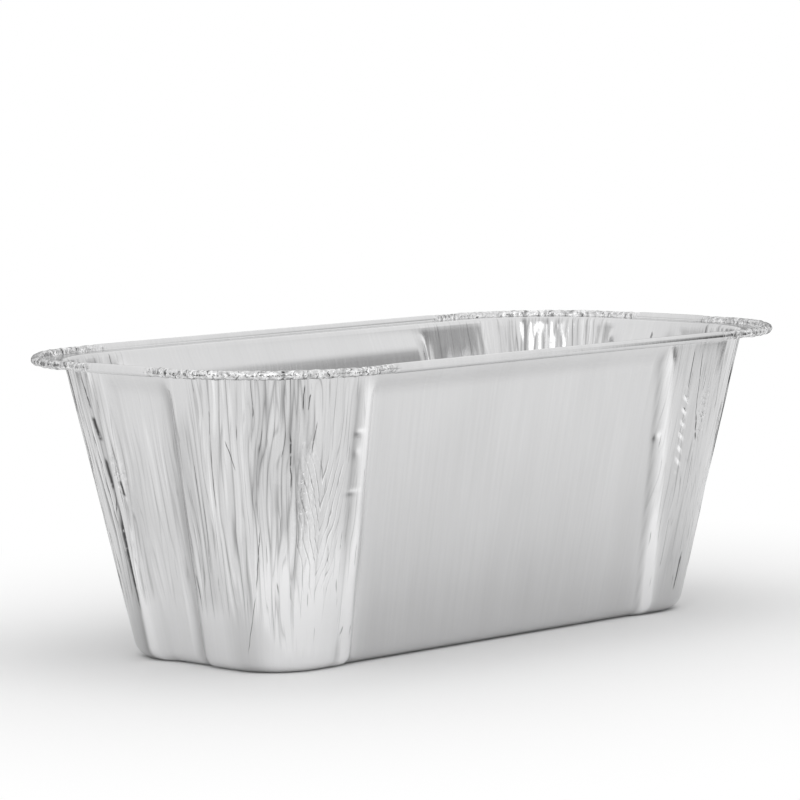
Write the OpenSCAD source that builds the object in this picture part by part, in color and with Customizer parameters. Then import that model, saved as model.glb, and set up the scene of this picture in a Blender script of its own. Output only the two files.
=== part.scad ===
// Foil grease cup: one sheet of soft aluminium foil, pressed into a deep oblong cup.
// The spare foil gathers into standing pleats round the four corners. Each side is
// pressed in as a flat panel between two soft bevels, a little off centre, and on the
// long sides a rib stands along each bevel. The edge of the flange is rolled over into
// a bead, which is crimped where it turns the corners.
// The cup stands at z = 0, and the middle of its foot is the origin.

/* [Overall] */
// Length over the rolled bead
rim_l = 185; // [165:1:210]
// Width over the rolled bead
rim_w = 94; // [84:1:120]
// Height from the table to the top of the bead
cup_h = 67.5; // [40:0.5:90]
// Thickness of the foil
foil_t = 0.12; // [0.06:0.01:0.2]

/* [Rim] */
// Corner radius of the rim, seen from above
rim_corner_r = 31.5; // [27:0.5:37]
// Diameter of the rolled bead
bead_d = 2.2; // [1.6:0.1:3]
// How far round the bead the foil is rolled, in degrees
bead_roll = 330; // [270:5:335]
// Width of the flat flange, from the bead to the wall
flange_w = 5.15; // [3.6:0.05:7]
// Bend from the wall to the flange
shoulder_r = 1.2; // [0.6:0.1:1.8]
// Bend from the flange up into the bead
neck_r = 0.35; // [0.2:0.05:0.6]

/* [Foot] */
// Length of the foot, to the sharp corner of wall and table
foot_l = 142.2; // [120:0.2:160]
// Width of the foot, to the sharp corner of wall and table
foot_w = 51.9; // [46:0.1:64]
// Corner radius of the foot, seen from above
foot_corner_r = 13.7; // [9:0.1:18]
// Rounding between the wall and the flat bottom
foot_edge_r = 4.2; // [2:0.1:6]

/* [Side panels] */
// How deep the flat panels are pressed into the sides
panel_depth = 1.2; // [0.4:0.1:2]
// Width of the soft bevel round a panel's ends
bevel_w = 3.6; // [2:0.1:5]
// Height of the rib along a long side's bevel
rib_h = 0.35; // [0:0.05:0.6]
// Width of that rib
rib_w = 3; // [2:0.1:4]
// Plain strip between a long side's bevel and the corner, at the flange
side_land_top = 10.9; // [8:0.1:12]
// Plain strip between a long side's bevel and the corner, at the foot
side_land_foot = 6.9; // [4:0.1:8]
// How far a long side's panel stands off centre, at the flange
side_shift_top = 5.4; // [0:0.1:6]
// How far a long side's panel stands off centre, at the foot
side_shift_foot = 0; // [0:0.1:3]
// Plain strip between an end's bevel and the corner, at the flange
end_land_top = 3.9; // [3.4:0.1:4.6]
// Plain strip between an end's bevel and the corner, at the foot
end_land_foot = 4; // [3.4:0.1:4.4]
// How far an end's panel stands off centre, at the flange
end_shift_top = 2.5; // [0:0.1:3]
// How far an end's panel stands off centre, at the foot
end_shift_foot = 3; // [0:0.1:3]
// Height over which the panels run out below the flange
panel_runout = 5; // [3:0.5:12]

/* [Pleats] */
// Folds between the straight sides, in and out, round each corner
corner_folds = 22; // [12:2:24]
// Greatest depth of a pleat in the corner walls
pleat_depth = 0.38; // [0:0.02:0.5]
// Shallowest pleat, as a share of the deepest
pleat_least = 0.3; // [0.1:0.1:1]
// Height above the foot over which the pleats run out
pleat_runout = 14; // [6:1:30]
// How far a pleat strays sideways, as a share of its own width
pleat_stray = 0.3; // [0:0.05:0.35]
// Depth of the crimps on the bead and the flange
crimp_depth = 0.13; // [0:0.01:0.2]
// Any whole number: picks another set of uneven pleats
pleat_seed = 7; // [1:1:99]

/* [Hidden] */

// How finely each bend of the section is stepped
foot_steps = 3;
wall_steps = 4;
shoulder_steps = 2;
neck_steps = 2;
bead_steps = 10;

// Heights of the middle of the foil
floor_z = foil_t / 2;
bead_z = cup_h - bead_d / 2;
flange_z = bead_z - neck_r;
bead_mid_r = bead_d / 2 - foil_t / 2;

// Seen from above, each outline is half length, half width, corner radius, then the land and
// the shift of a long side, and the land and the shift of an end
top_inset = bead_d + flange_w;
top_outline = [rim_l / 2 - top_inset, rim_w / 2 - top_inset, rim_corner_r - top_inset,
               side_land_top, side_shift_top, end_land_top, end_shift_top];
foot_outline = [foot_l / 2, foot_w / 2, foot_corner_r,
                side_land_foot, side_shift_foot, end_land_foot, end_shift_foot];

// The wall leans out by this angle, and a bend between it and a flat face takes this much of each
lean = atan2(top_outline[1] - foot_outline[1], flange_z - floor_z);
bend_take = (1 - sin(lean)) / cos(lean);
turn = 90 - lean;

// Every station of the section is: share of the wall's height, distance outside the wall's
// line, height, direction the outer face looks in (degrees above level), pleat depth,
// and 1 where the panels are pressed in.
function share(z) = (z - floor_z) / (flange_z - floor_z);
function ease(x) = let (c = max(0, min(1, x))) c * c * (3 - 2 * c);
function pleat_at(z) = pleat_depth * ease((z - floor_z) / pleat_runout);

function foot_station(a) =
    let (x = foot_edge_r * (cos(a) - bend_take), rise = foot_edge_r * (1 + sin(a)), z = floor_z + rise)
    [share(z), x - rise * tan(lean), z, a, pleat_at(z), 1];

function wall_station(z) = [share(z), 0, z, -lean, pleat_at(z), 1];

function shoulder_station(s) =
    let (a = -lean - s * turn,
         x = shoulder_r * (bend_take - cos(a)),
         drop = shoulder_r * (1 + sin(a)),
         z = flange_z - drop)
    [share(z), x + drop * tan(lean), z, a, pleat_depth + s * (crimp_depth - pleat_depth), 0];

function neck_station(a) =
    [1, flange_w + foil_t / 2 - neck_r + neck_r * cos(a), bead_z + neck_r * sin(a), a, crimp_depth, 0];

function bead_station(a) =
    [1, flange_w + bead_d / 2 - bead_mid_r * cos(a), bead_z - bead_mid_r * sin(a), a, crimp_depth, 0];

wall_low = foot_station(-lean)[2];
wall_high = shoulder_station(0)[2] - panel_runout;

stations = concat(
    [for (s = [0 : foot_steps]) foot_station(-90 + s / foot_steps * turn)],
    [for (s = [1 : wall_steps]) wall_station(wall_low + s / wall_steps * (wall_high - wall_low))],
    [for (s = [0 : shoulder_steps]) shoulder_station(s / shoulder_steps)],
    [for (s = [0 : neck_steps]) neck_station(-90 + s / neck_steps * 90)],
    [for (s = [1 : bead_steps]) bead_station(-s / bead_steps * bead_roll)]
);

// Round one corner the columns run: panel, rib, the rib's edge, land, the arc, and back again
arc_first = 4;
arc_last = arc_first + corner_folds;
corner_columns = arc_last + 5;
columns = 4 * corner_columns;

// Uneven pleats: each column has its own depth and its own wave
depths = rands(pleat_least, 1, columns, pleat_seed);
waves = rands(0, 360, columns, pleat_seed + 1);

// Where a rib ends on a land of this width, and the middle of what is left of the land
function rib_edge(land) = land - min(rib_w, land) / 2;
function land_middle(land) = rib_edge(land) / 2;

// Where a column stands: share of the corner's arc, distance past the arc, 1 for a panel's edge
// and -1 for a rib
function column(c, before, after) =
    c == 0 ? [0, -before - bevel_w, 1] :
    c == 1 ? [0, -before, -1] :
    c == 2 ? [0, -rib_edge(before), 0] :
    c == 3 ? [0, -land_middle(before), 0] :
    c <= arc_last ? [(c - arc_first) / corner_folds, 0, 0] :
    c == arc_last + 1 ? [1, land_middle(after), 0] :
    c == arc_last + 2 ? [1, rib_edge(after), 0] :
    c == arc_last + 3 ? [1, after, -1] :
    [1, after + bevel_w, 1];

function in_arc(c) = c > arc_first && c < arc_last;
function in_pleats(c) = c >= arc_first - 1 && c <= arc_last + 1;

// How far a column is pressed in. Only the long sides have ribs.
function pressed_in(kind, on_side) = kind > 0 ? panel_depth : kind < 0 && on_side ? -rib_h : 0;

// One point of the foil's outer (side 1) or inner (side -1) skin
function skin_point(st, corner, c, side) =
    let (k = st[0],
         o = foot_outline + k * (top_outline - foot_outline),
         ends_first = corner % 2 == 0,
         sign_x = corner == 0 || corner == 3 ? 1 : -1,
         sign_y = corner < 2 ? 1 : -1,
         side_land = o[3] + sign_x * o[4],
         end_land = o[5] - sign_y * o[6],
         col = column(c, ends_first ? end_land : side_land, ends_first ? side_land : end_land),
         i = corner * corner_columns + c,
         wave = sin(waves[i] + 540 * k),
         stray = in_arc(c) ? pleat_stray * wave / corner_folds : 0,
         a = 90 * (corner + col[0] + stray),
         out = [cos(a), sin(a)],
         along = [-sin(a), cos(a)],
         r = o[2] + st[1],
         middle = [sign_x * (o[0] - o[2]), sign_y * (o[1] - o[2])],
         fold = in_pleats(c) ? (c % 2 == 0 ? 1 : -1) * st[4] * depths[i] * (0.75 + 0.25 * wave) : 0,
         dent = st[5] * pressed_in(col[2], ends_first == (c > arc_first)),
         offset = fold + side * foil_t / 2,
         flat = middle + (r - dent + offset * cos(st[3])) * out + col[1] * along)
    [flat[0], flat[1], st[2] + offset * sin(st[3])];

function skin(side) =
    [for (st = stations) for (corner = [0 : 3]) for (c = [0 : corner_columns - 1])
        skin_point(st, corner, c, side)];

module cup() {
    rows = len(stations);
    inner = rows * columns;
    middle = 2 * inner;
    points = concat(skin(1), skin(-1), [[0, 0, 0], [0, 0, foil_t]]);
    around = [for (c = [0 : columns - 1]) [c, (c + 1) % columns]];
    outer_faces = [for (r = [0 : rows - 2]) for (p = around)
        let (low = r * columns, high = low + columns)
        each [[low + p[0], high + p[0], high + p[1]], [low + p[0], high + p[1], low + p[1]]]];
    inner_faces = [for (f = outer_faces) [f[0] + inner, f[2] + inner, f[1] + inner]];
    last = inner - columns;
    lip = [for (p = around)
        each [[last + p[0], last + inner + p[0], last + inner + p[1]],
              [last + p[0], last + inner + p[1], last + p[1]]]];
    bottom = [for (p = around) each [[middle, p[0], p[1]], [middle + 1, inner + p[1], inner + p[0]]]];
    color([0.8, 0.81, 0.82])
        polyhedron(points = points, faces = concat(outer_faces, inner_faces, lip, bottom), convexity = 6);
}

cup();
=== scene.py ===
import math

import bpy
from mathutils import Matrix, Vector


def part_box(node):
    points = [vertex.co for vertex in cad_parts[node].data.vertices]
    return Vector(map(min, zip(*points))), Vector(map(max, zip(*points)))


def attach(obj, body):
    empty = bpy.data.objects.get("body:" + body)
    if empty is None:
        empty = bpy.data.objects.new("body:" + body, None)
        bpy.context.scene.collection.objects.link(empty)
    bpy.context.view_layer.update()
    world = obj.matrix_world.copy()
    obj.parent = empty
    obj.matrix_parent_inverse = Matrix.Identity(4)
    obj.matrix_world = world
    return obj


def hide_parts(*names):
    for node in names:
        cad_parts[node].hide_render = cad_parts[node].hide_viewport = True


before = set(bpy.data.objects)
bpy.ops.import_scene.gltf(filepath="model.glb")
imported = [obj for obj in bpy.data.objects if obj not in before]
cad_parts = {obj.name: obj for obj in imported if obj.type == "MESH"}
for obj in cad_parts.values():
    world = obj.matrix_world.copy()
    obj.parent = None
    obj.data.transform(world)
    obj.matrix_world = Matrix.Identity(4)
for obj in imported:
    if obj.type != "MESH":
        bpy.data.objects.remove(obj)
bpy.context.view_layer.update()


# The cup: one sheet of soft aluminium foil, pressed between two dies into a deep oblong cup.
# The sheet is laid out as a grid, columns round the cup and rows from the middle of the
# bottom to the end of the rolled edge, and the tree below bends that grid into the cup.

class Field:
    """A number that a node tree works out at every point. Arithmetic on it adds the nodes."""

    def __init__(self, tree, source):
        self.tree = tree
        self.source = source

    def join(self, socket, item):
        if isinstance(item, Field):
            self.tree.links.new(item.source, socket)
        else:
            socket.default_value = item

    def math(self, operation, *others, clamp=False):
        node = self.tree.nodes.new("ShaderNodeMath")
        node.operation = operation
        node.use_clamp = clamp
        for socket, item in zip(node.inputs, (self, *others)):
            self.join(socket, item)
        return Field(self.tree, node.outputs[0])

    def __add__(self, other):
        return self.math("ADD", other)

    def __radd__(self, other):
        return self.math("ADD", other)

    def __mul__(self, other):
        return self.math("MULTIPLY", other)

    def __rmul__(self, other):
        return self.math("MULTIPLY", other)

    def __sub__(self, other):
        return self.math("SUBTRACT", other)

    def __rsub__(self, other):
        return (self * -1) + other

    def __truediv__(self, other):
        return self.math("DIVIDE", other)

    def __neg__(self):
        return self * -1

    def __pow__(self, other):
        return self.math("POWER", other)

    def __abs__(self):
        return self.math("ABSOLUTE")

    def sin(self):
        return self.math("SINE")

    def cos(self):
        return self.math("COSINE")

    def least(self, other):
        return self.math("MINIMUM", other)

    def most(self, other):
        return self.math("MAXIMUM", other)

    def share(self, low, high):
        """How far it is from low to high, held between 0 and 1."""
        return ((self - low) / (high - low)).math("ADD", 0.0, clamp=True)

    def ease(self, low, high):
        """The same, starting and ending softly."""
        x = self.share(low, high)
        return x * x * (3 - 2 * x)

    def mix(self, low, high):
        return low + self * (high - low)


def point(tree, x, y, z):
    node = tree.nodes.new("ShaderNodeCombineXYZ")
    for socket, item in zip(node.inputs, (x, y, z)):
        x.join(socket, item)
    return Field(tree, node.outputs[0])


def noise(tree, x, y, seed, detail=1.0, rough=0.5):
    """Smooth noise, about -0.5 to 0.5, at a place given in the noise's own waves."""
    node = tree.nodes.new("ShaderNodeTexNoise")
    tree.links.new(point(tree, x, y, seed).source, node.inputs["Vector"])
    node.inputs["Scale"].default_value = 1.0
    node.inputs["Detail"].default_value = detail
    node.inputs["Roughness"].default_value = rough
    return Field(tree, node.outputs[0]) - 0.5


def facet_tones(tree, x, y, seed):
    """Irregular facets, each about one unit across and with a tone of its own."""
    node = tree.nodes.new("ShaderNodeTexVoronoi")
    node.voronoi_dimensions = "2D"
    tree.links.new(point(tree, x + seed, y, 0.0).source, node.inputs["Vector"])
    node.inputs["Scale"].default_value = 1.0
    return Field(tree, node.outputs["Color"])


def keep(tree, geometry, name, field, domain="POINT", kind="FLOAT"):
    """Stores a field on the sheet, for later nodes and for the foil's material."""
    node = tree.nodes.new("GeometryNodeStoreNamedAttribute")
    node.data_type = kind
    node.domain = domain
    tree.links.new(geometry, node.inputs["Geometry"])
    node.inputs["Name"].default_value = name
    tree.links.new(field.source, node.inputs["Value"])
    return node.outputs["Geometry"]


# Sizes of the foil in millimetres. The overall ones come from the frame.
cup_low, cup_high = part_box("cup")
cup_sizes = {
    "Rim length": min(-cup_low.x, cup_high.x) * 2000,
    "Rim width": min(-cup_low.y, cup_high.y) * 2000,
    "Height": cup_high.z * 1000,
    "Rim corner radius": 31.5,
    "Foil": 0.12,
    "Bead": 2.2,
    "Bead roll in degrees": 330.0,
    "Flange": 5.15,
    "Shoulder radius": 1.2,
    "Neck radius": 0.35,
    "Foot length": 142.2,
    "Foot width": 51.9,
    "Foot corner radius": 13.7,
    "Foot edge radius": 4.2,
    "Panel depth": 1.2,
    "Bevel": 3.6,
    "Rib": 0.35,
    "Groove beside rib": 0.25,
    "Side land at top": 10.9,
    "Side land at foot": 6.9,
    "Side panel off centre at top": 5.4,
    "Side panel off centre at foot": 0.0,
    "End land at top": 3.9,
    "End land at foot": 4.0,
    "End panel off centre at top": 2.5,
    "End panel off centre at foot": 3.0,
    "Panel runout": 5.0,
    "Pleat depth": 0.34,
    "Pleat spacing": 2.2,
    "Facet depth": 0.3,
    "Chevron depth": 0.5,
    "Line depth": 0.2,
    "Wall waviness": 0.3,
    "Crimp depth": 0.25,
    "Seed": 4.0,
}

# Places round the cup are in millimetres from the middle of the first corner. This is how far
# they run for an arc, half a long side and half an end.
ARC = 30.0
SIDE = 61.0
END = 15.5

# Small dents in the ribs: place round the cup, height, half width, half height and depth
DENTS = [(231.9, 52.4, 1.3, 0.9, 0.45), (231.8, 48.0, 1.0, 1.6, 0.35), (231.4, 39.3, 2.0, 0.7, 0.35),
         (335.2, 43.2, 0.7, 1.2, 0.5), (30.6, 46.0, 1.2, 1.0, 0.4), (131.5, 33.0, 1.0, 1.4, 0.35)]

# Hard cracks in the creased corners, painted as dark lines of shade: place and height of the top end, of the
# lower end, half width
CRACKS = [(216.1, 54, 216.4, 40, 0.22), (209.8, 33, 208.0, 18, 0.14), (208.0, 18, 204.2, 4, 0.12),
          (203.6, 52, 205.3, 45, 0.13), (218.5, 64, 218.3, 58, 0.16), (219.8, 62, 219.3, 58, 0.14),
          (162.8, 64, 163.8, 56, 0.25), (163.7, 55, 164.7, 49, 0.8), (164.6, 46, 165.1, 38, 0.7),
          (168.1, 41, 168.7, 37, 0.6), (165.1, 34, 165.3, 10, 0.8), (347.5, 48, 349.0, 41, 0.3),
          (352.6, 15, 352.1, 5, 0.5), (342.4, 64, 342.8, 53, 0.14), (345.4, 64, 347.5, 46, 0.14)]

# Crumpled patches: place round the cup, height, half width, half height
CRUMPLES = [(168.0, 41.0, 2.4, 8.0), (219.3, 40.0, 2.6, 14.0), (343.3, 45.0, 0.8, 9.0),
            (349.6, 47.0, 1.8, 9.0), (4.0, 38.0, 2.4, 10.0), (147.0, 44.0, 2.0, 9.0)]


def to_long_side(around):
    """Millimetres from the middle of the nearest corner towards its long side."""
    lap = 2 * (ARC + SIDE + END)
    return ARC / 2 + SIDE - abs((around + (ARC / 2 + END)).math("MODULO", lap) - lap / 2)


def crease(phase, width):
    """A narrow valley with a small ridge beside it, once in each step of the phase: 0 to -1, and
    up to 0.4 on the ridge."""
    valley = abs((phase * math.pi).sin()).share(0.0, width) ** 0.5 - 1
    ridge = 1 - abs((phase * math.pi - 0.55).sin()) * 5
    return valley + 0.4 * ridge.most(0.0)


def thin_line(phase, sharpness):
    """A thin line once in each step of the phase: 1 on the line, 0 beside it."""
    return (1 - abs((phase * math.pi).sin()) * sharpness).most(0.0)


def swell(distance, width):
    """A smooth swell along a line: 1 on the line, a quarter of that one width beside it."""
    return (1 + (distance / width) ** 2) ** -2.0


# Millimetres from one chevron, and from one straight line, to the next
CHEVRON_SPACING = 1.9
LINE_SPACING = 1.2


def folds(tree, around, z, size):
    """Depth of the folds where the foil is gathered: smooth pleats towards the end, straight
    lines and narrow ridges in the middle, and chevrons towards the long side."""
    seed = size["Seed"]
    to_side = to_long_side(around)
    sway = noise(tree, around / 9, z / 40, seed)
    drift = to_side + sway * 8
    towards_end = 1 - drift.ease(-7.0, -2.0)
    towards_side = drift.ease(3.0, 8.0)
    middle = (1 - towards_end) * (1 - towards_side)
    phase = (to_side + sway * 5 + noise(tree, around / 3.2, z / 40, seed + 2) * 4) / size["Pleat spacing"]
    uneven = noise(tree, around / 1.8, z / 26, seed + 3).share(-0.2, 0.25)
    pleats = (crease(phase, 0.5) - 0.3 * (phase * math.tau).cos()) * uneven * size["Pleat depth"]
    ridged = abs(noise(tree, (around + sway * 4) / 2.0, z / 30, seed + 7)).share(0.0, 0.1) ** 0.5 - 1
    ridged = ridged * size["Facet depth"]
    apex = 10 + noise(tree, z / 14, 0.0, seed + 16) * 5
    stray = noise(tree, around / 7, z / 30, seed + 18) * 4
    chevron_at = (abs(to_side - apex) * 1.3 - z * 0.3 + stray) / CHEVRON_SPACING
    chevrons = crease(chevron_at, 0.45) * noise(tree, around / 2.5, z / 16, seed + 15).share(-0.25, 0.1)
    chevrons = chevrons * size["Chevron depth"] * to_side.ease(17.0, 13.0) * z.ease(52.0, 42.0)
    chevrons = chevrons * z.ease(12.0, 22.0) * around.ease(310.0, 290.0).mix(0.2, 1.0)
    line_at = (to_side + noise(tree, around / 3, z / 40, seed + 5) * 3) / LINE_SPACING
    lines = crease(line_at, 0.4) * noise(tree, around / 1.5, z / 18, seed + 17).share(-0.1, 0.2)
    return (pleats * (towards_end + 0.4 * middle) + ridged * (0.2 * towards_end + middle + 0.3 * towards_side)
            + chevrons * towards_side + lines * size["Line depth"] * (0.4 + 0.6 * middle))


def dents(around, z):
    depth = 0.0
    for dent_at, dent_z, dent_w, dent_h, dent_d in DENTS:
        spot = 1 + ((around - dent_at) / dent_w) ** 2 + ((z - dent_z) / dent_h) ** 2
        depth = spot ** -2.0 * dent_d + depth
    return depth


# Rows of the grid, from the middle of the bottom to the end of the rolled edge, and columns
# of one corner: half an end, the arc, and half a long side
ROWS = {"bottom": 5, "foot": 8, "wall": 58, "shoulder": 5, "flange": 5, "neck": 3, "bead": 18}
END_COLUMNS = 16
ARC_COLUMNS = 72
SIDE_COLUMNS = 28

press = bpy.data.node_groups.new("pressed foil cup", "GeometryNodeTree")
for name, value in cup_sizes.items():
    socket = press.interface.new_socket(name, in_out="INPUT", socket_type="NodeSocketFloat")
    socket.default_value = value
press.interface.new_socket("Foil finish", in_out="INPUT", socket_type="NodeSocketMaterial")
press.interface.new_socket("Geometry", in_out="OUTPUT", socket_type="NodeSocketGeometry")
given = press.nodes.new("NodeGroupInput")
size = {name: Field(press, given.outputs[name]) for name in cup_sizes}

rows = sum(ROWS.values())
corner_columns = END_COLUMNS + ARC_COLUMNS + SIDE_COLUMNS
grid = press.nodes.new("GeometryNodeMeshGrid")
grid.inputs["Size X"].default_value = 1.0
grid.inputs["Size Y"].default_value = 1.0
grid.inputs["Vertices X"].default_value = 4 * corner_columns + 1
grid.inputs["Vertices Y"].default_value = rows + 1
position = press.nodes.new("GeometryNodeInputPosition")
split = press.nodes.new("ShaderNodeSeparateXYZ")
press.links.new(position.outputs[0], split.inputs[0])
column = (Field(press, split.outputs["X"]) + 0.5) * 4
row = (Field(press, split.outputs["Y"]) + 0.5) * rows

# How far each stretch of the section has been gone through, from 0 to 1
done = {}
start = 0
for stretch, count in ROWS.items():
    done[stretch] = row.share(start, start + count)
    start += count

floor_z = size["Foil"] / 2
bead_z = size["Height"] - size["Bead"] / 2
flange_z = bead_z - size["Neck radius"]
bead_r = size["Bead"] / 2 - floor_z
top_inset = size["Bead"] + size["Flange"]
top = [size["Rim length"] / 2 - top_inset, size["Rim width"] / 2 - top_inset,
       size["Rim corner radius"] - top_inset]
foot = [size["Foot length"] / 2, size["Foot width"] / 2, size["Foot corner radius"]]
rise = flange_z - floor_z
slope = (top[1] - foot[1]) / rise
lean = slope.math("ARCTANGENT")
bend_take = (1 - lean.sin()) / lean.cos()
turn = math.pi / 2 - lean

# The section: out is the distance outside the wall's line, z the height
foot_turn = done["foot"] * turn - math.pi / 2
foot_rise = size["Foot edge radius"] * (foot_turn.sin() + 1)
foot_out = size["Foot edge radius"] * (foot_turn.cos() - bend_take) - foot_rise * slope
full_foot_rise = size["Foot edge radius"] * (1 - lean.sin())
shoulder_turn = -lean - done["shoulder"] * turn
shoulder_drop = size["Shoulder radius"] * (shoulder_turn.sin() + 1)
full_drop = size["Shoulder radius"] * (1 - lean.sin())
shoulder_out = size["Shoulder radius"] * (bend_take - shoulder_turn.cos()) + shoulder_drop * slope
wall_rise = rise - full_foot_rise - full_drop
neck_turn = done["neck"] * (math.pi / 2) - math.pi / 2
bead_turn = done["bead"] * size["Bead roll in degrees"] * math.radians(-1)
flange_run = size["Flange"] + floor_z - size["Neck radius"] - size["Shoulder radius"] * bend_take
wall_z = floor_z + foot_rise + done["wall"] * wall_rise + (full_drop - shoulder_drop)
z = wall_z + size["Neck radius"] * (neck_turn.sin() + 1) - bead_r * bead_turn.sin()
out = (foot_out + shoulder_out + done["flange"] * flange_run
       + size["Neck radius"] * neck_turn.cos() + bead_r * (1 - bead_turn.cos()))
climb = ((z - floor_z) / rise).most(done["flange"]).least(1.0)

# The outline at that height, and where the column stands on it
half_l, half_w, corner_r = (climb.mix(low, high) for low, high in zip(foot, top))
just_under_four = 3.9999
corner = column.least(just_under_four).math("FLOOR")
side_first = corner.math("MODULO", 2.0)
in_corner = (column - corner) * corner_columns
before_columns = side_first.mix(END_COLUMNS, SIDE_COLUMNS)
arc = in_corner.share(before_columns, before_columns + ARC_COLUMNS)
before = 1 - in_corner.share(0.0, before_columns)
after = in_corner.share(before_columns + ARC_COLUMNS, corner_columns)
side_run = half_l - corner_r
end_run = half_w - corner_r


# A long side's columns stand close together up to its rib: this share of them, over this run
# in millimetres. From there on they spread out.
CLOSE_SHARE = 0.68
CLOSE_RUN = 18
SPREADING = 1.3


def run(done, side, end, is_side):
    """Distance past the arc, along a long side or along an end."""
    close = done.share(0.0, CLOSE_SHARE) * CLOSE_RUN
    along_side = close + done.share(CLOSE_SHARE, 1.0) ** SPREADING * (side - CLOSE_RUN)
    return is_side.mix(done * end, along_side)


back = run(before, side_run, end_run, side_first)
onward = run(after, side_run, end_run, 1 - side_first)
angle = (corner + arc) * (math.pi / 2)
sign_x = 1 - 2 * (corner.math("GREATER_THAN", 0.5) * corner.math("LESS_THAN", 2.5))
sign_y = 1 - 2 * corner.math("GREATER_THAN", 1.5)

# The flat panels, pressed in between two bevels. They stand off centre and run out
# below the flange.
side_shift = climb.mix(size["Side panel off centre at foot"], size["Side panel off centre at top"])
end_shift = climb.mix(size["End panel off centre at foot"], size["End panel off centre at top"])
side_land = climb.mix(size["Side land at foot"], size["Side land at top"]) + sign_x * side_shift
end_land = climb.mix(size["End land at foot"], size["End land at top"]) - sign_y * end_shift
land_before = side_first.mix(end_land, side_land)
land_after = side_first.mix(side_land, end_land)
arc_run = corner_r * (math.pi / 2)
past_before = back - arc * arc_run - land_before
past_after = onward - (1 - arc) * arc_run - land_after
past_rib = past_before.most(past_after)
panel = past_rib.ease(0.0, size["Bevel"])
from_middle = (arc - 0.5) * ARC + run(after, SIDE, END, 1 - side_first) - run(before, SIDE, END, side_first)
around = (ARC + SIDE + END) * corner + (SIDE - END) * side_first + from_middle
is_end = (to_long_side(around) * -1).ease(14.0, 18.0)

# Widths in millimetres at a panel's edge: of the rib, of the groove on a long side and on an
# end, of the painted highlight along the rib outside and inside the panel, and of the painted highlight on an
# end's bevel
RIB_WIDTH = 1.6
GROOVE_WIDTHS = (1.1, 1.7)
CREST_HIGHLIGHT_WIDTHS = (1.8, 3.2)
BEVEL_HIGHLIGHT_WIDTH = 1.3
rib = swell(past_rib, RIB_WIDTH) * (1 - is_end)
groove_at = is_end.mix(sign_x * 2.6 - 0.3, 3.2)
groove = swell(past_rib - groove_at, is_end.mix(*GROOVE_WIDTHS))
soft_bend = is_end * (sign_y * 0.5 + 0.5)
groove = groove * (1 - 0.8 * soft_bend)
panel_top = flange_z - full_drop
at_wall = 1 - done["shoulder"]
panel_height = (1 - z.ease(panel_top - size["Panel runout"], panel_top)) * at_wall
edge = size["Groove beside rib"] * groove - size["Rib"] * rib
pressed_in = size["Panel depth"] * panel + edge * done["foot"]
dent = pressed_in * panel_height

reach = corner_r + out - dent
x = sign_x * (half_l - corner_r) + reach * angle.cos() - (onward - back) * angle.sin()
y = sign_y * (half_w - corner_r) + reach * angle.sin() + (onward - back) * angle.cos()

# The rows of the bottom close in on a line along its middle
spread = done["bottom"]
middle_line = foot[0] - foot[1]
middle_x = x.most(-middle_line).least(middle_line)
x = spread.mix(middle_x, x)
y = spread * y

section = wall_z + done["flange"] * size["Flange"] + done["neck"] * 0.6 - bead_r * bead_turn
seed = size["Seed"]
gathered = (1 - panel) * (1 - is_end) + is_end * (1 - 0.5 * panel) * z.ease(67.0, 46.0).mix(0.15, 1.0)
fold_foot = to_long_side(around).ease(3.0, -6.0) * 7
gathered = gathered * ((z - fold_foot) / 8).ease(0.25, 1.3) * at_wall * done["foot"]
creases = folds(press, around, z, size) * gathered - dents(around, z) * at_wall
waviness = noise(press, around / 24, z / 30, seed + 21) * size["Wall waviness"]
waviness = waviness * z.ease(2.0, 12.0) * at_wall * done["foot"]
lift = noise(press, x / 20, y / 20, seed + 25).share(-0.5, 0.5) * spread.ease(1.0, 0.6) * 0.25

round_rim = 1 - (back + onward).ease(3.0, 8.0)
crimps = noise(press, around / 1.1, section / 2.5, seed + 9, 1.0, 0.6)
crimps = (1 - crimps.share(-0.2, 0.2)) * size["Crimp depth"] * round_rim * done["flange"]
crimps = crimps * (done["neck"] * 0.5 + 0.5)

# Painted light in the foil's colour: a painted highlight along the rib, stronger low on the wall, painted
# shade in the groove, and at the foot of an end a painted highlight on the bevel
low = 1 - z.ease(10.0, 34.0)
bevel_highlight = (is_end - soft_bend) * swell(past_rib - 6.2, BEVEL_HIGHLIGHT_WIDTH) * low
crest_highlight_width = past_rib.math("GREATER_THAN", 0.0).mix(*CREST_HIGHLIGHT_WIDTHS)
crest_highlight = swell(past_rib, crest_highlight_width) * (1 - is_end)
rib_painted_light = (crest_highlight * (0.7 + 1.1 * low) - 0.8 * groove + 0.4 * bevel_highlight) * panel_height * done["foot"]

sheet = keep(press, grid.outputs["Mesh"], "place", point(press, around, section, 0.0), "CORNER", "FLOAT2")
sheet = keep(press, sheet, "push", creases + waviness + crimps)
sheet = keep(press, sheet, "rib", rib_painted_light)
sheet = keep(press, sheet, "gathered", gathered)
sheet = keep(press, sheet, "rim", done["flange"] * round_rim)

bend = press.nodes.new("GeometryNodeSetPosition")
press.links.new(sheet, bend.inputs["Geometry"])
press.links.new(point(press, x / 1000, y / 1000, (z + lift) / 1000).source, bend.inputs["Position"])
# The first and last columns meet, and so do the rows' points on the bottom's middle line
SAME_PLACE = 0.0000005
weld = press.nodes.new("GeometryNodeMergeByDistance")
weld.inputs["Distance"].default_value = SAME_PLACE
press.links.new(bend.outputs["Geometry"], weld.inputs["Geometry"])

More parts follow.
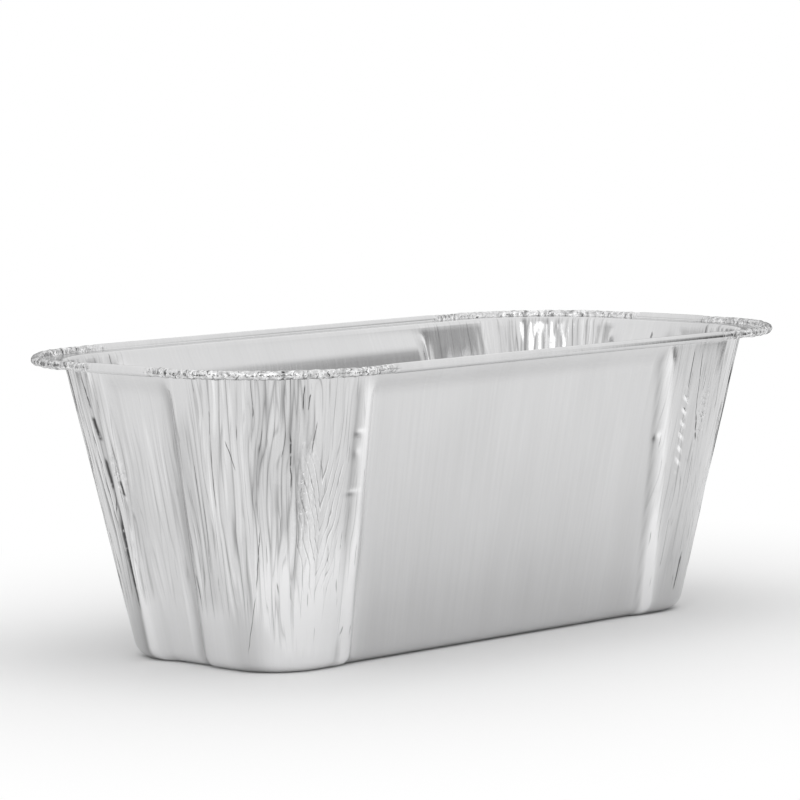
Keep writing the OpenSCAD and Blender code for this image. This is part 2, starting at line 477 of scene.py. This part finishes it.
fold = press.nodes.new("GeometryNodeInputNamedAttribute")
fold.data_type = "FLOAT"
fold.inputs["Name"].default_value = "push"
normal = press.nodes.new("GeometryNodeInputNormal")
push = press.nodes.new("ShaderNodeVectorMath")
push.operation = "SCALE"
press.links.new(normal.outputs[0], push.inputs[0])
press.links.new((Field(press, fold.outputs["Attribute"]) / 1000).source, push.inputs["Scale"])
folded = press.nodes.new("GeometryNodeSetPosition")
press.links.new(weld.outputs["Geometry"], folded.inputs["Geometry"])
press.links.new(push.outputs[0], folded.inputs["Offset"])

smooth = press.nodes.new("GeometryNodeSetShadeSmooth")
press.links.new(folded.outputs["Geometry"], smooth.inputs["Geometry"])
realize = press.nodes.new("GeometryNodeRealizeInstances")
press.links.new(smooth.outputs["Geometry"], realize.inputs["Geometry"])
finish = press.nodes.new("GeometryNodeSetMaterial")
press.links.new(realize.outputs["Geometry"], finish.inputs["Geometry"])
press.links.new(given.outputs["Foil finish"], finish.inputs["Material"])
result = press.nodes.new("NodeGroupOutput")
press.links.new(finish.outputs["Geometry"], result.inputs["Geometry"])

# The finish: bright soft foil with painted shade down in the folds, with the fine lines that rolling
# leaves across the sheet, and with hair cracks where it is creased hard, painted as dark lines of shade
foil = bpy.data.materials.new("bright rolled foil")
foil.use_nodes = True
tree = foil.node_tree
skin = tree.nodes["Principled BSDF"]


def told(tree, name):
    node = tree.nodes.new("ShaderNodeAttribute")
    node.attribute_name = name
    return Field(tree, node.outputs["Fac"])


places = tree.nodes.new("ShaderNodeUVMap")
places.uv_map = "place"
place = tree.nodes.new("ShaderNodeSeparateXYZ")
tree.links.new(places.outputs["UV"], place.inputs[0])
u = Field(tree, place.outputs["X"])
v = Field(tree, place.outputs["Y"])
# Painted highlight and shade along the ribs, worked out on the sheet
rib_painted_light = told(tree, "rib")
creased = told(tree, "gathered")
rim = told(tree, "rim")

# Millimetres from one hair line, one crack and one crimp to the next, and how far apart the
# two sides of a dent are compared for its painted light and shade
HAIR_SPACING = 1.4
CRACK_SPACING = 2.9
CRIMP_SPACING = 1.5
DENT_STEP = 0.35

crease_depth = folds(tree, u, v, cup_sizes) * creased
# Painted light and shade on a dent: one side lighter, the other darker
dent_painted_relief = dents(u + DENT_STEP, v + DENT_STEP) - dents(u - DENT_STEP, v - DENT_STEP)
swing = noise(tree, u / 9, v / 40, 4.0) * 5
hair_at = (u + swing + noise(tree, u / 2, v / 20, 1.0) * 3) / HAIR_SPACING
# Hair lines: painted shade, thin dark lines in the creased parts
hair_line_shade = thin_line(hair_at, 2.4) * noise(tree, u / 0.9, v / 20, 2.0).share(-0.02, 0.12) * creased
rolling = noise(tree, u / 0.35, v / 22, 2.0, 2.0)
wobble = noise(tree, u / 1.5, v / 2.5, 17.0) * 0.7
crack_at = (u + swing + noise(tree, u / 3, v / 18, 5.0) * 3 + wobble * 0.25) / CRACK_SPACING
# Cracks: painted shade, black lines where the foil is folded hard
crack_shade = thin_line(crack_at, 8) * noise(tree, u / 2.4, v / 12, 6.0).ease(0.08, 0.13) * creased.share(0.5, 0.9)
for top_at, top_z, foot_at, foot_z, half_width in CRACKS:
    along = (v - foot_z) / (top_z - foot_z)
    beside = abs(u - along * (top_at - foot_at) - foot_at + wobble * 0.6) / half_width
    crack_shade = crack_shade.most((1 - beside).most(0.0) * along.ease(0.0, 0.2) * along.ease(1.0, 0.8) * 1.3)
crack_shade = crack_shade.least(1.0) * noise(tree, u / 1.0, v / 1.3, 18.0).share(-0.3, -0.1)
flat_tone = facet_tones(tree, (u + swing) / 2.2, v / 24, 11.0)
flat_tone = (flat_tone - 0.5) * creased

# Crimps on the rim and crumples in the corners: wrinkles, bumped into the normal and also painted as
# small bright and dark patches of highlight and shade
crumpled = 0.0
for patch_at, patch_z, patch_w, patch_h in CRUMPLES:
    spot = 1 + ((u - patch_at) / patch_w) ** 2 + ((v - patch_z) / patch_h) ** 2
    crumpled = spot ** -3.0 + crumpled
crumpled = crumpled * noise(tree, u / 1.5, v / 4, 19.0).share(-0.2, 0.15)
crimp_at = (u + v * 0.2 + noise(tree, u / 1.5, v / 2, 13.0) * 2.5) / CRIMP_SPACING
crimp_here = noise(tree, u / 4, v / 5, 15.0).share(-0.2, 0.05) * rim
crimp_edge_bump_and_shade = thin_line(crimp_at, 5) * noise(tree, u / 1.2, v / 1.5, 21.0).share(-0.05, 0.1) * crimp_here
crimp_bump_and_sheen = noise(tree, u / 0.9, v / 2, 14.0) * crimp_here
speck_bump_and_glints = noise(tree, u / 0.4, v / 0.7, 3.0) * rim
fleck_bump_and_glints = noise(tree, (u + wobble) / 0.45, v / 1.1, 20.0)
fleck_bump_and_glints = fleck_bump_and_glints.share(0.08, 0.2) - 0.7 * fleck_bump_and_glints.share(-0.08, -0.2)
fleck_bump_and_glints = fleck_bump_and_glints * crumpled.most(crimp_here).least(1.0)

# A row of small bulges beside one corner, which leans a little, bumped and with painted highlights
ROPE_PLACE = 342.5
ROPE_TOP = 52
ROPE_WIDTH = 1.4
rope_at = u - ROPE_PLACE - (ROPE_TOP - v) * 0.094
rope_bump_and_highlight = (1 - abs(rope_at) / ROPE_WIDTH).most(0.0) * (v * 2.1 + rope_at * 1.6).sin().share(-0.2, 0.8)
rope_bump_and_highlight = rope_bump_and_highlight * v.ease(33.0, 37.0) * v.ease(56.0, 50.0) * noise(tree, u / 2, v / 3, 22.0).share(-0.25, 0.1)

bump = tree.nodes.new("ShaderNodeBump")
bump.inputs["Distance"].default_value = 0.001
bump.inputs["Strength"].default_value = 1.0
height = rolling * 0.012 + speck_bump_and_glints * 0.15 + fleck_bump_and_glints * 0.1
height = height + crimp_bump_and_sheen * 0.6 - crimp_edge_bump_and_shade * 0.2 + rope_bump_and_highlight * 0.05
tree.links.new(height.source, bump.inputs["Height"])
tree.links.new(bump.outputs[0], skin.inputs["Normal"])

# How bright the foil is, with light painted in: painted shade in folds and grooves, painted highlights
# on crests and a painted reflection of the bright floor low on the walls. Some of it holds for one stretch
# round the cup only.
BASE_LEVEL = 0.69
near_part = u.ease(300.0, 240.0)
# The two corners that get painted shade
left_corner_shade = u.ease(130.0, 145.0) * u.ease(166.0, 163.0)
right_corner_shade = u.ease(320.0, 345.0) * u.ease(395.0, 380.0)
# Painted shade down in the folds and a painted highlight on the small ridges beside them
fold_shade = crease_depth.share(-0.04, -0.28)
fold_highlight = crease_depth.share(0.0, 0.08)
# Bright streaks in the creased parts, stronger low on the walls: painted highlights. Below, a painted
# reflection of the bright floor low on the long sides by one corner, on the ends and up one corner
highlight_streaks = noise(tree, (u + swing) / 1.6, v / 30, 16.0, 2.0).share(-0.1, 0.2) * creased
low = 1 - v.ease(8.0, 36.0)
low_side_reflection = low * to_long_side(u).ease(-8.0, 0.0) * near_part
low_end_reflection = low * to_long_side(u).ease(-10.0, -18.0)
corner_reflection = v.ease(46.0, 14.0) * to_long_side(u).ease(-9.0, 0.0) * to_long_side(u).ease(25.0, 17.0)
corner_reflection = corner_reflection * near_part * u.ease(185.0, 195.0)
# Painted shade on the lands of the ends
end_land = to_long_side(u).ease(-14.0, -18.0) * creased.share(0.4, 1.0)
level = BASE_LEVEL - 0.34 * fold_shade + 0.18 * fold_highlight + 0.33 * rib_painted_light - 0.24 * hair_line_shade
level = level + 0.07 * flat_tone + 0.45 * fleck_bump_and_glints
level = level + noise(tree, u / 16, v / 40, 8.0, 2.0) * 0.1 + noise(tree, u / 0.8, v / 30, 9.0) * 0.06
# Painted highlights and painted floor reflection, and painted shade on the ends' lands
level = level + highlight_streaks * (0.04 + 0.2 * low_side_reflection) + 0.1 * low_side_reflection * creased
level = level + 0.23 * corner_reflection + 0.16 * low_end_reflection - 0.09 * end_land
# Painted glints, highlights and shade on the rim's specks and crimps and on the bulges, and painted light and
# shade on the dents' sides
level = level + speck_bump_and_glints * 0.6 + crimp_bump_and_sheen * 1.6 - crimp_edge_bump_and_shade * 1.0 + 0.45 * rope_bump_and_highlight - 0.8 * dent_painted_relief
# Painted shade over two corners
level = level - 0.06 * right_corner_shade - 0.1 * left_corner_shade
# The cracks' painted shade darkens the colour last
level = level.most(0.05).least(0.98) * (1 - 0.85 * crack_shade)
mixed = tree.nodes.new("ShaderNodeCombineColor")
tree.links.new(level.source, mixed.inputs[0])
tree.links.new(level.source, mixed.inputs[1])
tree.links.new((level * 1.005).source, mixed.inputs[2])
tree.links.new(mixed.outputs[0], skin.inputs["Base Color"])
rough = 0.17 + noise(tree, u / 1.2, v / 26, 11.0, 2.0) * 0.12
tree.links.new(rough.source, skin.inputs["Roughness"])
skin.inputs["Metallic"].default_value = 1.0

blank = bpy.data.meshes.new("foil_cup")
cup = bpy.data.objects.new("foil_cup", blank)
bpy.context.scene.collection.objects.link(cup)
pressing = cup.modifiers.new("press", "NODES")
pressing.node_group = press
inputs = {item.name: item.identifier for item in press.interface.items_tree if item.in_out == "INPUT"}
for name, value in cup_sizes.items():
    pressing[inputs[name]] = value
pressing[inputs["Foil finish"]] = foil
thick = cup.modifiers.new("foil", "SOLIDIFY")
thick.thickness = cup_sizes["Foil"] / 1000
thick.offset = 0.0

graph = bpy.context.evaluated_depsgraph_get()
pressed = bpy.data.meshes.new_from_object(cup.evaluated_get(graph), preserve_all_data_layers=True,
                                          depsgraph=graph)
cup.modifiers.clear()
cup.data = pressed
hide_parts("cup")
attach(cup, "root")


# The floor: a plain pale table top that keeps the cup's shadow and fades to white further
# out, so that no far edge of it shows behind the cup or in the foil.
FLOOR = 9.0

# The foot's outline in metres: half its length and width without the round corners, and their
# radius. Outside it the floor fades to white over this run.
FOOT_HALF_L = 0.057
FOOT_HALF_W = 0.012
FOOT_ROUND = 0.014
FADE_RUN = 0.16
floor_mesh = bpy.data.meshes.new("floor")
floor_mesh.from_pydata([(-FLOOR, -FLOOR, 0), (FLOOR, -FLOOR, 0), (FLOOR, FLOOR, 0), (-FLOOR, FLOOR, 0)],
                       [], [(0, 1, 2, 3)])
floor = bpy.data.objects.new("floor", floor_mesh)
bpy.context.scene.collection.objects.link(floor)
table = bpy.data.materials.new("pale table")
table.use_nodes = True
tree = table.node_tree
pale = tree.nodes["Principled BSDF"]
pale.inputs["Base Color"].default_value = (0.92, 0.92, 0.92, 1)
pale.inputs["Roughness"].default_value = 1.0
pale.inputs["Specular IOR Level"].default_value = 0.0
white = tree.nodes.new("ShaderNodeEmission")
coordinates = tree.nodes.new("ShaderNodeTexCoord")
place = tree.nodes.new("ShaderNodeSeparateXYZ")
tree.links.new(coordinates.outputs["Object"], place.inputs[0])
beyond_end = (abs(Field(tree, place.outputs["X"])) - FOOT_HALF_L).most(0.0)
beyond_side = (abs(Field(tree, place.outputs["Y"])) - FOOT_HALF_W).most(0.0)
from_foot = (beyond_end ** 2 + beyond_side ** 2) ** 0.5 - FOOT_ROUND


def shown(tree):
    """1 for what the camera sees by itself, in a mirror or through glass, else 0."""
    ray = tree.nodes.new("ShaderNodeLightPath")
    return (Field(tree, ray.outputs["Is Camera Ray"]) + Field(tree, ray.outputs["Is Glossy Ray"])
            + Field(tree, ray.outputs["Is Transmission Ray"])).least(1.0)


fade = from_foot.ease(0.0, FADE_RUN) * shown(tree)
blend = tree.nodes.new("ShaderNodeMixShader")
tree.links.new(fade.source, blend.inputs[0])
tree.links.new(pale.outputs[0], blend.inputs[1])
tree.links.new(white.outputs[0], blend.inputs[2])
tree.links.new(blend.outputs[0], tree.nodes["Material Output"].inputs["Surface"])
floor_mesh.materials.append(table)


# The light: a white room, a large soft box above the cup and a smaller one to the left.
# Grey cards stand round the cup out of sight, so that the foil's folds have something to mirror.
world = bpy.data.worlds.new("room")
bpy.context.scene.world = world
world.use_nodes = True
room = world.node_tree
backdrop = room.nodes["Background"]
backdrop.inputs["Color"].default_value = (1, 1, 1, 1)
room.links.new(shown(room).mix(0.72, 1.0).source, backdrop.inputs["Strength"])


def soft_box(name, place, size, power, mirrored):
    lamp = bpy.data.lights.new(name, "AREA")
    lamp.shape = "RECTANGLE"
    lamp.size, lamp.size_y = size
    lamp.energy = power
    box = bpy.data.objects.new(name, lamp)
    box.location = place
    box.rotation_euler = (Vector((0, 0, 0.03)) - Vector(place)).to_track_quat("-Z", "Y").to_euler()
    box.visible_camera = False
    box.visible_glossy = mirrored
    bpy.context.scene.collection.objects.link(box)


soft_box("top", (-0.2, -0.4, 1.7), (2.0, 2.0), 9.5, False)
soft_box("front", (-0.8, -0.6, 0.48), (0.5, 0.35), 0.75, True)

# The ring of cards, in metres, and how it is turned, in radians
STRIPS = 64
CARDS = 7
CARD_TURN = 0.8
RING_RADIUS = 0.27
RING_FOOT = 0.0005
RING_HEIGHT = 0.2
corners = []
faces = []
for i in range(STRIPS):
    bearing = math.tau * i / STRIPS
    for level in (RING_FOOT, RING_HEIGHT):
        corners.append((RING_RADIUS * math.cos(bearing), RING_RADIUS * math.sin(bearing), level))
    following = 2 * ((i + 1) % STRIPS)
    faces.append((2 * i, following, following + 1, 2 * i + 1))
ring_mesh = bpy.data.meshes.new("grey_cards")
ring_mesh.from_pydata(corners, [], faces)
ring = bpy.data.objects.new("grey_cards", ring_mesh)
bpy.context.scene.collection.objects.link(ring)
grey = bpy.data.materials.new("grey cards")
grey.use_nodes = True
tree = grey.node_tree
card = tree.nodes["Principled BSDF"]
card.inputs["Base Color"].default_value = (0.05, 0.05, 0.05, 1)
card.inputs["Roughness"].default_value = 1.0
coordinates = tree.nodes.new("ShaderNodeTexCoord")
place = tree.nodes.new("ShaderNodeSeparateXYZ")
tree.links.new(coordinates.outputs["Object"], place.inputs[0])
bearing = Field(tree, place.outputs["Y"]).math("ARCTAN2", Field(tree, place.outputs["X"]))
solid = ((bearing * CARDS - CARD_TURN).sin().ease(-0.3, 0.6)
         * (1 - Field(tree, place.outputs["Z"]).ease(0.05, RING_HEIGHT)))
tree.links.new(solid.source, card.inputs["Alpha"])
ring_mesh.materials.append(grey)
ring.visible_camera = False
ring.visible_diffuse = False
ring.visible_shadow = False


# The camera stands where the photograph was taken from. Its lens is given by the focal length
# and the width of the photograph, both in pixels.
FOCAL_PIXELS = 4310.7
PHOTO_PIXELS = 800
SENSOR = 36
lens = FOCAL_PIXELS / PHOTO_PIXELS * SENSOR
distance = 0.9877
azimuth, elevation, roll = math.radians(-46.464), math.radians(5.208), math.radians(-0.679)
back_dir = Vector((math.sin(azimuth) * math.cos(elevation), -math.cos(azimuth) * math.cos(elevation),
                   math.sin(elevation)))
right_dir = Vector((math.cos(azimuth), math.sin(azimuth), 0))
up_dir = back_dir.cross(right_dir)
aim = Vector((0, 0, 0.04625)) - 0.00335 * right_dir + 0.00699 * up_dir
right_turned = math.cos(roll) * right_dir + math.sin(roll) * up_dir
up_turned = math.cos(roll) * up_dir - math.sin(roll) * right_dir
camera = bpy.data.objects.new("camera", bpy.data.cameras.new("camera"))
camera.data.sensor_width = SENSOR
camera.data.sensor_fit = "HORIZONTAL"
camera.data.lens = lens
camera.data.clip_end = 20
facing = Matrix((right_turned, up_turned, back_dir)).transposed().to_4x4()
camera.matrix_world = Matrix.Translation(aim + back_dir * distance) @ facing
bpy.context.scene.collection.objects.link(camera)
bpy.context.scene.camera = camera

bpy.context.scene.view_settings.view_transform = "Standard"
